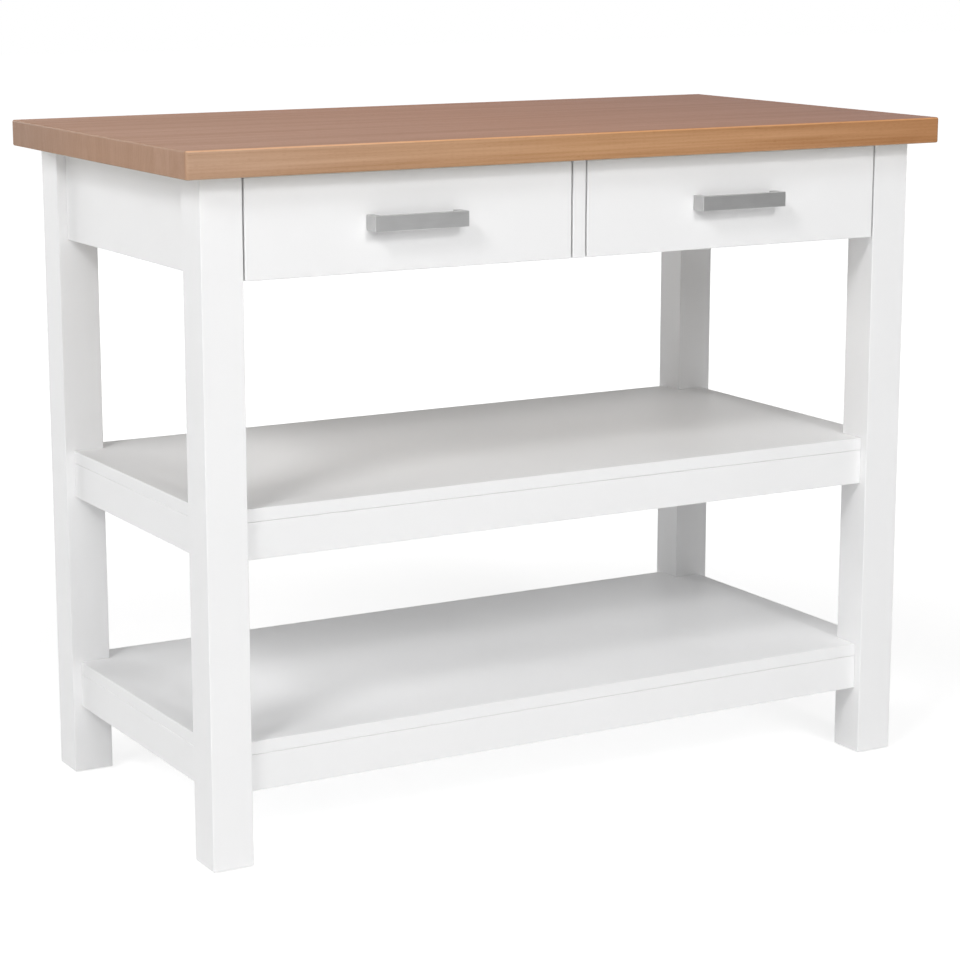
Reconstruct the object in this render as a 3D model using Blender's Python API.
"""Kitchen island: wooden worktop, painted frame, two drawers on roller slides, two open shelves.

Metres, +Z up. The origin lies on the floor under the middle of the worktop, +X runs along its
length and -Y is the drawer side. The driving sizes come first and all other places follow from them.
"""
from math import pi, radians, sqrt

import bmesh
import bpy
from mathutils import Matrix, Vector

# Worktop and overall height
HEIGHT = 0.914
TOP_LENGTH = 1.130
TOP_DEPTH = 0.590
TOP_THICKNESS = 0.035
TOP_OVERHANG = 0.030
TOP_CORNER_RADIUS = 0.004
TOP_EDGE_EASE = 0.0025

# Legs and the glides nailed under them
LEG_WIDTH = 0.056
LEG_EDGE_EASE = 0.0025
GLIDE_HEIGHT = 0.003
GLIDE_RADIUS = 0.012
GLIDE_NAIL_RADIUS = 0.0015
GLIDE_NAIL_LENGTH = 0.016

# Aprons, rails and shelf boards
BOARD_SETBACK = 0.013
APRON_HEIGHT = 0.123
APRON_THICKNESS = 0.018
FRONT_RAIL_HEIGHT = 0.018
RAIL_HEIGHT = 0.048
RAIL_THICKNESS = 0.018
SHELF_THICKNESS = 0.017
MIDDLE_SHELF_TOP = 0.464
LOWER_SHELF_TOP = 0.163
BOARD_EDGE_EASE = 0.0015
TENON_LENGTH = 0.012
TENON_SHOULDER = 0.004

# Drawer boxes
DIVIDER_THICKNESS = 0.019
DRAWER_FRONT_THICKNESS = 0.018
DRAWER_FRONT_DROP = 0.006
DRAWER_REVEAL = 0.0025
DRAWER_CLOSING_GAP = 0.002
DRAWER_HEADROOM = 0.007
DRAWER_BACK_SPACE = 0.039
DRAWER_SIDE_THICKNESS = 0.012
DRAWER_BOTTOM_THICKNESS = 0.003
DRAWER_BOTTOM_LIFT = 0.010
HOUSING_DEPTH = 0.006
DRAWER_TRAVEL = 0.330

# Roller slides
SLIDE_SPACE = 0.0125
SLIDE_SHEET = 0.0012
SLIDE_LIFT = 0.003
CHANNEL_HEADROOM = 0.0005
RUNNER_LEDGE_LIFT = 0.0015
ROLLER_RADIUS = 0.010
ROLLER_SIDE_GAP = 0.001
ROLLER_INSET = 0.013
PIN_RADIUS = 0.0022
STOP_HEIGHT = 0.003
STOP_LENGTH = 0.003
BATTEN_HEIGHT = 0.045

# Drawer pulls and their screws
HANDLE_LENGTH = 0.133
HANDLE_FACE_HEIGHT = 0.0195
HANDLE_BAR_THICKNESS = 0.008
HANDLE_POST_WIDTH = 0.010
HANDLE_PROJECTION = 0.024
HANDLE_EDGE_EASE = 0.0008
SCREW_RADIUS = 0.002
SCREW_GRIP = 0.011
SCREW_HEAD_RADIUS = 0.004
SCREW_HEAD_HEIGHT = 0.0025

# Clearance between pieces that touch, and between pieces that run on each other
FIT_GAP = 0.0003

# The sides and rows of the four legs, as signs along X and Y
SIDES = {"left": -1, "right": 1}
ROWS = {"front": -1, "back": 1}

# Facets of round pieces and of eased edges, and the distance at which spun points are one
ROUND_STEPS = 24
EASE_STEPS = 2
SMOOTH_ANGLE = radians(40)
MERGE_DISTANCE = 1e-6

# Plan of the leg frame and of the boards set back inside it
FRAME_X = TOP_LENGTH / 2 - TOP_OVERHANG
FRAME_Y = TOP_DEPTH / 2 - TOP_OVERHANG
LEG_INNER_X = FRAME_X - LEG_WIDTH
LEG_INNER_Y = FRAME_Y - LEG_WIDTH
BOARD_X = FRAME_X - BOARD_SETBACK
BOARD_Y = FRAME_Y - BOARD_SETBACK
CASE_BACK_Y = BOARD_Y - APRON_THICKNESS

# Levels of the drawer case
TOP_UNDERSIDE = HEIGHT - TOP_THICKNESS
CASE_TOP = TOP_UNDERSIDE - FIT_GAP
APRON_BOTTOM = TOP_UNDERSIDE - APRON_HEIGHT
FRONT_RAIL_TOP = APRON_BOTTOM + FRONT_RAIL_HEIGHT
TOP_RAIL_BOTTOM = CASE_TOP - FRONT_RAIL_HEIGHT
DRAWER_FRONT_LOW = APRON_BOTTOM - DRAWER_FRONT_DROP
DRAWER_FRONT_HIGH = TOP_UNDERSIDE - DRAWER_REVEAL
HANDLE_Z = (DRAWER_FRONT_LOW + DRAWER_FRONT_HIGH) / 2

# Levels of the slides, from the channel's underside up
CHANNEL_Z = FRONT_RAIL_TOP + SLIDE_LIFT
ROLLER_Z = CHANNEL_Z + SLIDE_SHEET + FIT_GAP + ROLLER_RADIUS
RUNNER_FLANGE_Z = ROLLER_Z + ROLLER_RADIUS + FIT_GAP
CHANNEL_TOP_Z = RUNNER_FLANGE_Z + SLIDE_SHEET + CHANNEL_HEADROOM + SLIDE_SHEET
RUNNER_LEDGE_Z = CHANNEL_Z + RUNNER_LEDGE_LIFT
DRAWER_SIDE_LOW = RUNNER_LEDGE_Z + SLIDE_SHEET + FIT_GAP
DRAWER_SIDE_HIGH = TOP_RAIL_BOTTOM - DRAWER_HEADROOM

# Depths of the drawer case, from the front face back
FRONT_Y = -FRAME_Y
DRAWER_FRONT_BACK_Y = FRONT_Y + DRAWER_FRONT_THICKNESS
FRONT_RAIL_Y = DRAWER_FRONT_BACK_Y + DRAWER_CLOSING_GAP
DRAWER_REAR_Y = CASE_BACK_Y - DRAWER_BACK_SPACE
CHANNEL_ROLLER_Y = FRONT_RAIL_Y + ROLLER_INSET
DRAWER_ROLLER_Y = DRAWER_REAR_Y - ROLLER_INSET

# Distances across a slide, from the wall that carries it to the drawer side
WEB_NEAR = FIT_GAP
WEB_FAR = WEB_NEAR + SLIDE_SHEET
RUNNER_WEB_FAR = SLIDE_SPACE - FIT_GAP
RUNNER_WEB_NEAR = RUNNER_WEB_FAR - SLIDE_SHEET
ROLLER_NEAR = WEB_FAR + ROLLER_SIDE_GAP
ROLLER_FAR = RUNNER_WEB_NEAR - ROLLER_SIDE_GAP
FLANGE_FAR = RUNNER_WEB_NEAR - ROLLER_SIDE_GAP / 2
FLANGE_NEAR = WEB_FAR + ROLLER_SIDE_GAP / 2


def make_material(name, colour, roughness, metallic=0.0):
    """A Principled BSDF with one colour."""
    material = bpy.data.materials.new(name)
    material.use_nodes = True
    shader = material.node_tree.nodes["Principled BSDF"]
    shader.inputs["Base Color"].default_value = (*colour, 1.0)
    shader.inputs["Roughness"].default_value = roughness
    shader.inputs["Metallic"].default_value = metallic
    return material


def make_object(name, bm, centre, material, parent=None):
    """Turn a bmesh that is built around its own origin into an object that stands at centre."""
    bmesh.ops.recalc_face_normals(bm, faces=bm.faces)
    mesh = bpy.data.meshes.new(name)
    bm.to_mesh(mesh)
    bm.free()
    mesh.shade_smooth()
    mesh.set_sharp_from_angle(angle=SMOOTH_ANGLE)
    if material:
        mesh.materials.append(material)
    piece = bpy.data.objects.new(name, mesh)
    bpy.context.scene.collection.objects.link(piece)
    piece.location = centre
    if parent:
        piece.parent = parent
        piece.location = centre - parent.location
    return piece


def make_empty(name, place):
    """An empty that carries the pieces of one moving body."""
    empty = bpy.data.objects.new(name, None)
    bpy.context.scene.collection.objects.link(empty)
    empty.location = place
    return empty


def add_box(bm, low, high, origin):
    """Add a box between two corners to a bmesh whose origin is given."""
    size = high - low
    move = Matrix.Translation((low + high) / 2 - origin)
    return bmesh.ops.create_cube(bm, size=1.0, matrix=move @ Matrix.Diagonal((*size, 1.0)))["verts"]


def add_rod(bm, start, end, radius, origin):
    """Add a round rod between two points to a bmesh whose origin is given."""
    along = end - start
    turn = Vector((0, 0, 1)).rotation_difference(along).to_matrix().to_4x4()
    place = Matrix.Translation((start + end) / 2 - origin) @ turn
    bmesh.ops.create_cone(bm, cap_ends=True, segments=ROUND_STEPS, radius1=radius, radius2=radius,
                          depth=along.length, matrix=place)


def grown(box, gap=FIT_GAP):
    """A box made larger by a gap on every side."""
    margin = Vector((gap, gap, gap))
    return box[0] - margin, box[1] + margin


def spread(sign, near, far):
    """Two places along an axis on the side of a sign, in rising order."""
    return sorted((sign * near, sign * far))


def block(name, box, material, ease=0.0, corner=0.0, parent=None):
    """A board or post between two corners, with eased edges and, if asked, rounded upright corners."""
    low, high = box
    centre = (low + high) / 2
    bm = bmesh.new()
    add_box(bm, low, high, centre)
    if corner:
        upright = [edge for edge in bm.edges if abs(edge.verts[0].co.z - edge.verts[1].co.z) > corner]
        bmesh.ops.bevel(bm, geom=upright, offset=corner, segments=2 * EASE_STEPS, profile=0.5, affect="EDGES")
    piece = make_object(name, bm, centre, material, parent)
    if ease:
        soften(piece, ease)
    return piece


def prism(name, points, axis, low, high, material, parent=None):
    """Carry a flat outline along an axis; its points give the two other coordinates in order."""
    bm = bmesh.new()
    middle = [sum(values) / len(points) for values in zip(*points)]
    centre = list(middle)
    centre.insert(axis, (low + high) / 2)
    corners = []
    for point in points:
        place = [value - centre_value for value, centre_value in zip(point, middle)]
        place.insert(axis, (low - high) / 2)
        corners.append(bm.verts.new(place))
    face = bm.faces.new(corners)
    swept = bmesh.ops.extrude_face_region(bm, geom=[face])["geom"]
    step = [0.0, 0.0, 0.0]
    step[axis] = high - low
    bmesh.ops.translate(bm, vec=step, verts=[item for item in swept if isinstance(item, bmesh.types.BMVert)])
    return make_object(name, bm, Vector(centre), material, parent)


def turned(name, profile, axis, centre, material, parent=None):
    """Spin a profile of (radius, height) points about an axis through centre."""
    bm = bmesh.new()
    verts = [bm.verts.new((radius, 0.0, height)) for radius, height in profile]
    edges = [bm.edges.new(pair) for pair in zip(verts, verts[1:])]
    bmesh.ops.spin(bm, geom=verts + edges, cent=(0, 0, 0), axis=(0, 0, 1), angle=2 * pi,
                   steps=ROUND_STEPS, use_merge=True)
    bmesh.ops.remove_doubles(bm, verts=bm.verts, dist=MERGE_DISTANCE)
    piece = make_object(name, bm, centre, material, parent)
    piece.rotation_euler = Vector((0, 0, 1)).rotation_difference(axis).to_euler()
    return piece


def soften(piece, width):
    """Ease the sharp edges of a piece."""
    bevel = piece.modifiers.new("eased_edges", "BEVEL")
    bevel.width = width
    bevel.segments = EASE_STEPS
    bevel.limit_method = "ANGLE"
    bevel.angle_limit = SMOOTH_ANGLE


def combine(piece, operation, boxes=(), rods=()):
    """Cut boxes and rods, given in world places, out of a piece, or join them to it."""
    place = piece.location.copy()
    if piece.parent:
        place += piece.parent.location
    bm = bmesh.new()
    for low, high in boxes:
        add_box(bm, low, high, place)
    for start, end, radius in rods:
        add_rod(bm, start, end, radius, place)
    tool = make_object(f"{piece.name}_{operation.lower()}_tool", bm, place, None, piece.parent)
    tool.hide_render = True
    tool.display_type = "WIRE"
    modifier = piece.modifiers.new(operation.lower(), "BOOLEAN")
    modifier.operation = operation
    modifier.object = tool
    modifier.use_self = True


def make_worktop(material):
    low = Vector((-TOP_LENGTH / 2, -TOP_DEPTH / 2, TOP_UNDERSIDE))
    high = Vector((TOP_LENGTH / 2, TOP_DEPTH / 2, HEIGHT))
    block("worktop", (low, high), material, TOP_EDGE_EASE, TOP_CORNER_RADIUS)


def tenoned_rail(name, axis, box, material, pockets):
    """A rail between two legs, with a stub tenon at each end; pockets collects the mortises by leg."""
    low, high = box
    rail = block(name, box, material, BOARD_EDGE_EASE)
    shoulder = Vector((TENON_SHOULDER, TENON_SHOULDER, TENON_SHOULDER))
    shoulder[axis] = -TENON_LENGTH
    bar = (low + shoulder, high - shoulder)
    combine(rail, "UNION", [bar])
    middle = (low + high) / 2
    for end in (-1, 1):
        across = middle.copy()
        across[axis] = end
        leg = ("front" if across.y < 0 else "back", "left" if across.x < 0 else "right")
        pockets[leg].append(grown(bar))


def make_case_rails(material, pockets):
    """The side and back aprons, and the two flat rails behind the drawer fronts."""
    inner_x = LEG_INNER_X - FIT_GAP
    inner_y = LEG_INNER_Y - FIT_GAP
    for side, sign in SIDES.items():
        near, far = spread(sign, BOARD_X - APRON_THICKNESS, BOARD_X)
        box = (Vector((near, -inner_y, APRON_BOTTOM)), Vector((far, inner_y, CASE_TOP)))
        tenoned_rail(f"apron_{side}", 1, box, material, pockets)
    box = (Vector((-inner_x, CASE_BACK_Y, APRON_BOTTOM)), Vector((inner_x, BOARD_Y, CASE_TOP)))
    tenoned_rail("apron_back", 0, box, material, pockets)
    for level, low_z in (("upper", TOP_RAIL_BOTTOM), ("lower", APRON_BOTTOM)):
        low = Vector((-inner_x, FRONT_RAIL_Y, low_z))
        high = Vector((inner_x, -LEG_INNER_Y, low_z + FRONT_RAIL_HEIGHT))
        tenoned_rail(f"drawer_rail_{level}", 0, (low, high), material, pockets)


def make_shelf(level, top, material, pockets):
    """A board notched round the legs, on four rails."""
    underside = top - SHELF_THICKNESS
    box = (Vector((-BOARD_X, -BOARD_Y, underside)), Vector((BOARD_X, BOARD_Y, top)))
    board = block(f"{level}_shelf_board", box, material, BOARD_EDGE_EASE)
    combine(board, "DIFFERENCE", [grown(leg_box(row, side)) for row in ROWS for side in SIDES])
    rail_high = underside - FIT_GAP
    rail_low = rail_high - RAIL_HEIGHT
    for row, sign in ROWS.items():
        near, far = spread(sign, BOARD_Y - RAIL_THICKNESS, BOARD_Y)
        reach = LEG_INNER_X - FIT_GAP
        box = (Vector((-reach, near, rail_low)), Vector((reach, far, rail_high)))
        tenoned_rail(f"{level}_rail_{row}", 0, box, material, pockets)
    for side, sign in SIDES.items():
        near, far = spread(sign, BOARD_X - RAIL_THICKNESS, BOARD_X)
        reach = LEG_INNER_Y - FIT_GAP
        box = (Vector((near, -reach, rail_low)), Vector((far, reach, rail_high)))
        tenoned_rail(f"{level}_rail_{side}", 1, box, material, pockets)


def leg_box(row, side):
    """The two corners of one leg."""
    near_x, far_x = spread(SIDES[side], LEG_INNER_X, FRAME_X)
    near_y, far_y = spread(ROWS[row], LEG_INNER_Y, FRAME_Y)
    return Vector((near_x, near_y, GLIDE_HEIGHT + FIT_GAP)), Vector((far_x, far_y, CASE_TOP))


def make_legs(material, glide_material, pockets):
    """Four square legs with the mortises of their rails, each on a nailed glide."""
    for (row, side), mortises in pockets.items():
        box = leg_box(row, side)
        leg = block(f"leg_{row}_{side}", box, material, LEG_EDGE_EASE)
        foot = (box[0] + box[1]) / 2
        foot.z = 0.0
        nail_top = foot + Vector((0, 0, GLIDE_HEIGHT + GLIDE_NAIL_LENGTH))
        nail_hole = (foot, nail_top + Vector((0, 0, FIT_GAP)), GLIDE_NAIL_RADIUS + FIT_GAP)
        combine(leg, "DIFFERENCE", mortises, [nail_hole])
        profile = [(0.0, nail_top.z), (GLIDE_NAIL_RADIUS, nail_top.z), (GLIDE_NAIL_RADIUS, GLIDE_HEIGHT),
                   (GLIDE_RADIUS, GLIDE_HEIGHT), (GLIDE_RADIUS, GLIDE_HEIGHT / 3),
                   (GLIDE_RADIUS - GLIDE_HEIGHT / 3, 0.0), (0.0, 0.0)]
        turned(f"glide_{row}_{side}", profile, Vector((0, 0, 1)), foot, glide_material)


def make_divider(material):
    """The upright board between the drawers, notched over the two drawer rails."""
    half = DIVIDER_THICKNESS / 2
    low = Vector((-half, FRONT_Y, DRAWER_FRONT_LOW))
    high = Vector((half, CASE_BACK_Y - FIT_GAP, CASE_TOP))
    divider = block("drawer_divider", (low, high), material, BOARD_EDGE_EASE)
    clear = Vector((DIVIDER_THICKNESS, 0, 0))
    rail_front = FRONT_RAIL_Y - FIT_GAP
    rail_back = -LEG_INNER_Y + FIT_GAP
    below = DRAWER_FRONT_LOW - DRAWER_FRONT_DROP
    above = HEIGHT
    notches = [
        (Vector((low.x, rail_front, below)), Vector((high.x, FRAME_Y, APRON_BOTTOM))),
        (Vector((low.x, rail_front, below)), Vector((high.x, rail_back, FRONT_RAIL_TOP + FIT_GAP))),
        (Vector((low.x, rail_front, TOP_RAIL_BOTTOM - FIT_GAP)), Vector((high.x, rail_back, above))),
    ]
    combine(divider, "DIFFERENCE", [(start - clear, end + clear) for start, end in notches])


def make_battens(material):
    """Battens that fill from the side aprons to the legs' inner faces and carry the outer slides."""
    middle = (CHANNEL_Z + CHANNEL_TOP_Z) / 2
    for side, sign in SIDES.items():
        near, far = spread(sign, LEG_INNER_X, BOARD_X - APRON_THICKNESS - FIT_GAP)
        low = Vector((near, FIT_GAP - LEG_INNER_Y, middle - BATTEN_HEIGHT / 2))
        high = Vector((far, LEG_INNER_Y - FIT_GAP, middle + BATTEN_HEIGHT / 2))
        block(f"slide_batten_{side}", (low, high), material)


def make_roller(name, wall_x, inward, y, material, parent=None):
    """A nylon roller on its pin, its bore one running gap larger than the pin."""
    half = (ROLLER_FAR - ROLLER_NEAR) / 2
    bore = PIN_RADIUS + FIT_GAP
    rim = ROLLER_RADIUS
    chamfer = ROLLER_SIDE_GAP / 2
    profile = [(bore, half), (rim - chamfer, half), (rim, half - chamfer), (rim, chamfer - half),
               (rim - chamfer, -half), (bore, -half), (bore, half)]
    centre = Vector((wall_x + inward * (ROLLER_NEAR + half), y, ROLLER_Z))
    turned(name, profile, Vector((1, 0, 0)), centre, material, parent)


def make_channel(name, wall_x, inward, material):
    """The fixed half of a slide: a C-shaped channel with its front pin and the drawer roller's stop."""
    across = [(WEB_NEAR, CHANNEL_Z), (FLANGE_FAR, CHANNEL_Z), (FLANGE_FAR, CHANNEL_Z + SLIDE_SHEET),
              (WEB_FAR, CHANNEL_Z + SLIDE_SHEET), (WEB_FAR, CHANNEL_TOP_Z - SLIDE_SHEET),
              (FLANGE_FAR, CHANNEL_TOP_Z - SLIDE_SHEET), (FLANGE_FAR, CHANNEL_TOP_Z),
              (WEB_NEAR, CHANNEL_TOP_Z)]
    outline = [(wall_x + inward * u, z) for u, z in across]
    channel = prism(name, outline, 1, FRONT_RAIL_Y, DRAWER_REAR_Y, material)
    root = wall_x + inward * (WEB_NEAR + SLIDE_SHEET / 2)
    pin = (Vector((root, CHANNEL_ROLLER_Y, ROLLER_Z)),
           Vector((wall_x + inward * ROLLER_FAR, CHANNEL_ROLLER_Y, ROLLER_Z)), PIN_RADIUS)
    roller_reach = sqrt(ROLLER_RADIUS ** 2 - (ROLLER_RADIUS - STOP_HEIGHT) ** 2)
    stop_y = DRAWER_ROLLER_Y - DRAWER_TRAVEL - roller_reach - FIT_GAP
    near, far = sorted((root, wall_x + inward * ROLLER_FAR))
    floor = CHANNEL_Z + SLIDE_SHEET
    stop = (Vector((near, stop_y - STOP_LENGTH, floor - SLIDE_SHEET / 2)),
            Vector((far, stop_y, floor + STOP_HEIGHT)))
    combine(channel, "UNION", [stop], [pin])


def make_runner(name, wall_x, inward, material, parent):
    """The moving half of a slide: a ledge under the drawer side, a web, and a flange over the roller."""
    ledge_far = SLIDE_SPACE + DRAWER_SIDE_THICKNESS
    ledge_top = RUNNER_LEDGE_Z + SLIDE_SHEET
    flange_top = RUNNER_FLANGE_Z + SLIDE_SHEET
    across = [(RUNNER_WEB_NEAR, RUNNER_LEDGE_Z), (ledge_far, RUNNER_LEDGE_Z), (ledge_far, ledge_top),
              (RUNNER_WEB_FAR, ledge_top), (RUNNER_WEB_FAR, flange_top), (FLANGE_NEAR, flange_top),
              (FLANGE_NEAR, RUNNER_FLANGE_Z), (RUNNER_WEB_NEAR, RUNNER_FLANGE_Z)]
    outline = [(wall_x + inward * u, z) for u, z in across]
    runner = prism(name, outline, 1, DRAWER_FRONT_BACK_Y + FIT_GAP, DRAWER_REAR_Y, material, parent)
    pin = (Vector((wall_x + inward * (RUNNER_WEB_NEAR + SLIDE_SHEET / 2), DRAWER_ROLLER_Y, ROLLER_Z)),
           Vector((wall_x + inward * ROLLER_NEAR, DRAWER_ROLLER_Y, ROLLER_Z)), PIN_RADIUS)
    combine(runner, "UNION", rods=[pin])


def make_handle(drawer, centre_x, material, screw_material, parent):
    """A square U-shaped pull and the two screws that hold it from inside the drawer."""
    half = HANDLE_LENGTH / 2
    back = FRONT_Y - FIT_GAP
    front = back - HANDLE_PROJECTION
    bar_back = front + HANDLE_BAR_THICKNESS
    post = half - HANDLE_POST_WIDTH
    plan = [(-half, back), (-half, front), (half, front), (half, back),
            (post, back), (post, bar_back), (-post, bar_back), (-post, back)]
    outline = [(centre_x + x, y) for x, y in plan]
    handle = prism(f"drawer_{drawer}_handle", outline, 2, HANDLE_Z - HANDLE_FACE_HEIGHT / 2,
                   HANDLE_Z + HANDLE_FACE_HEIGHT / 2, material, parent)
    soften(handle, HANDLE_EDGE_EASE)
    tip = back - SCREW_GRIP
    seat = DRAWER_FRONT_BACK_Y + FIT_GAP
    shank = seat - tip
    holes = []
    for hand, sign in SIDES.items():
        x = centre_x + sign * (half - HANDLE_POST_WIDTH / 2)
        bottom = Vector((x, tip - FIT_GAP, HANDLE_Z))
        mouth = Vector((x, seat, HANDLE_Z))
        holes.append((bottom, mouth, SCREW_RADIUS + FIT_GAP))
        head_edge = SCREW_HEAD_HEIGHT / 2
        profile = [(0.0, SCREW_HEAD_HEIGHT), (SCREW_HEAD_RADIUS - head_edge, SCREW_HEAD_HEIGHT),
                   (SCREW_HEAD_RADIUS, head_edge), (SCREW_HEAD_RADIUS, 0.0), (SCREW_RADIUS, 0.0),
                   (SCREW_RADIUS, -shank), (0.0, -shank)]
        turned(f"drawer_{drawer}_handle_screw_{hand}", profile, Vector((0, 1, 0)),
               mouth, screw_material, parent)
    combine(handle, "DIFFERENCE", rods=holes)
    return holes


def make_drawer(drawer, sign, finish, parent):
    """One drawer: front, box, pull and the moving halves of its slides."""
    left_wall, right_wall = spread(sign, DIVIDER_THICKNESS / 2, LEG_INNER_X)
    box_left = left_wall + SLIDE_SPACE
    box_right = right_wall - SLIDE_SPACE
    thickness = DRAWER_SIDE_THICKNESS
    side_front = DRAWER_FRONT_BACK_Y - HOUSING_DEPTH + FIT_GAP
    back_front = DRAWER_REAR_Y - 2 * thickness
    side_boxes = {
        "left": (Vector((box_left, side_front, DRAWER_SIDE_LOW)),
                 Vector((box_left + thickness, DRAWER_REAR_Y, DRAWER_SIDE_HIGH))),
        "right": (Vector((box_right - thickness, side_front, DRAWER_SIDE_LOW)),
                  Vector((box_right, DRAWER_REAR_Y, DRAWER_SIDE_HIGH))),
    }
    reach = thickness - HOUSING_DEPTH + FIT_GAP
    back_box = (Vector((box_left + reach, back_front, DRAWER_SIDE_LOW)),
                Vector((box_right - reach, back_front + thickness, DRAWER_SIDE_HIGH)))
    bottom_z = DRAWER_SIDE_LOW + DRAWER_BOTTOM_LIFT
    bottom_box = (Vector((box_left + reach, side_front, bottom_z)),
                  Vector((box_right - reach, back_front + HOUSING_DEPTH, bottom_z + DRAWER_BOTTOM_THICKNESS)))
    front_box = (Vector((left_wall + DRAWER_REVEAL, FRONT_Y, DRAWER_FRONT_LOW)),
                 Vector((right_wall - DRAWER_REVEAL, DRAWER_FRONT_BACK_Y, DRAWER_FRONT_HIGH)))

    screw_holes = make_handle(drawer, (left_wall + right_wall) / 2, finish["nickel"], finish["zinc"], parent)
    front = block(f"drawer_{drawer}_front", front_box, finish["paint"], BOARD_EDGE_EASE, parent=parent)
    housings = [grown(box) for box in (*side_boxes.values(), bottom_box)]
    combine(front, "DIFFERENCE", housings, screw_holes)
    for hand, box in side_boxes.items():
        side = block(f"drawer_{drawer}_side_{hand}", box, finish["birch"], parent=parent)
        combine(side, "DIFFERENCE", [grown(back_box), grown(bottom_box)])
    back = block(f"drawer_{drawer}_back", back_box, finish["birch"], parent=parent)
    combine(back, "DIFFERENCE", [grown(bottom_box)])
    block(f"drawer_{drawer}_bottom", bottom_box, finish["birch"], parent=parent)

    for hand, wall_x, inward in (("left", left_wall, 1), ("right", right_wall, -1)):
        make_channel(f"slide_{drawer}_{hand}_channel", wall_x, inward, finish["zinc"])
        make_roller(f"slide_{drawer}_{hand}_roller", wall_x, inward, CHANNEL_ROLLER_Y, finish["nylon"])
        make_runner(f"drawer_{drawer}_{hand}_runner", wall_x, inward, finish["zinc"], parent)
        make_roller(f"drawer_{drawer}_{hand}_roller", wall_x, inward, DRAWER_ROLLER_Y, finish["nylon"],
                    parent)


def main():
    for item in list(bpy.data.objects):
        bpy.data.objects.remove(item)
    finish = {
        "wood": make_material("worktop_wood", (0.46, 0.27, 0.14), 0.40),
        "paint": make_material("white_paint", (0.84, 0.84, 0.85), 0.35),
        "birch": make_material("pale_birch", (0.66, 0.52, 0.36), 0.55),
        "nickel": make_material("satin_nickel", (0.42, 0.42, 0.42), 0.38, 1.0),
        "zinc": make_material("zinc_steel", (0.62, 0.62, 0.62), 0.45, 1.0),
        "nylon": make_material("white_nylon", (0.78, 0.78, 0.76), 0.50),
    }
    pockets = {(row, side): [] for row in ROWS for side in SIDES}
    make_worktop(finish["wood"])
    make_case_rails(finish["paint"], pockets)
    make_shelf("middle", MIDDLE_SHELF_TOP, finish["paint"], pockets)
    make_shelf("lower", LOWER_SHELF_TOP, finish["paint"], pockets)
    make_legs(finish["paint"], finish["nylon"], pockets)
    make_divider(finish["paint"])
    make_battens(finish["birch"])
    for drawer, sign in SIDES.items():
        middle_x = sign * (DIVIDER_THICKNESS / 2 + LEG_INNER_X) / 2
        carrier = make_empty(f"drawer_{drawer}_carrier", Vector((middle_x, FRONT_Y, HANDLE_Z)))
        make_drawer(drawer, sign, finish, carrier)


main()
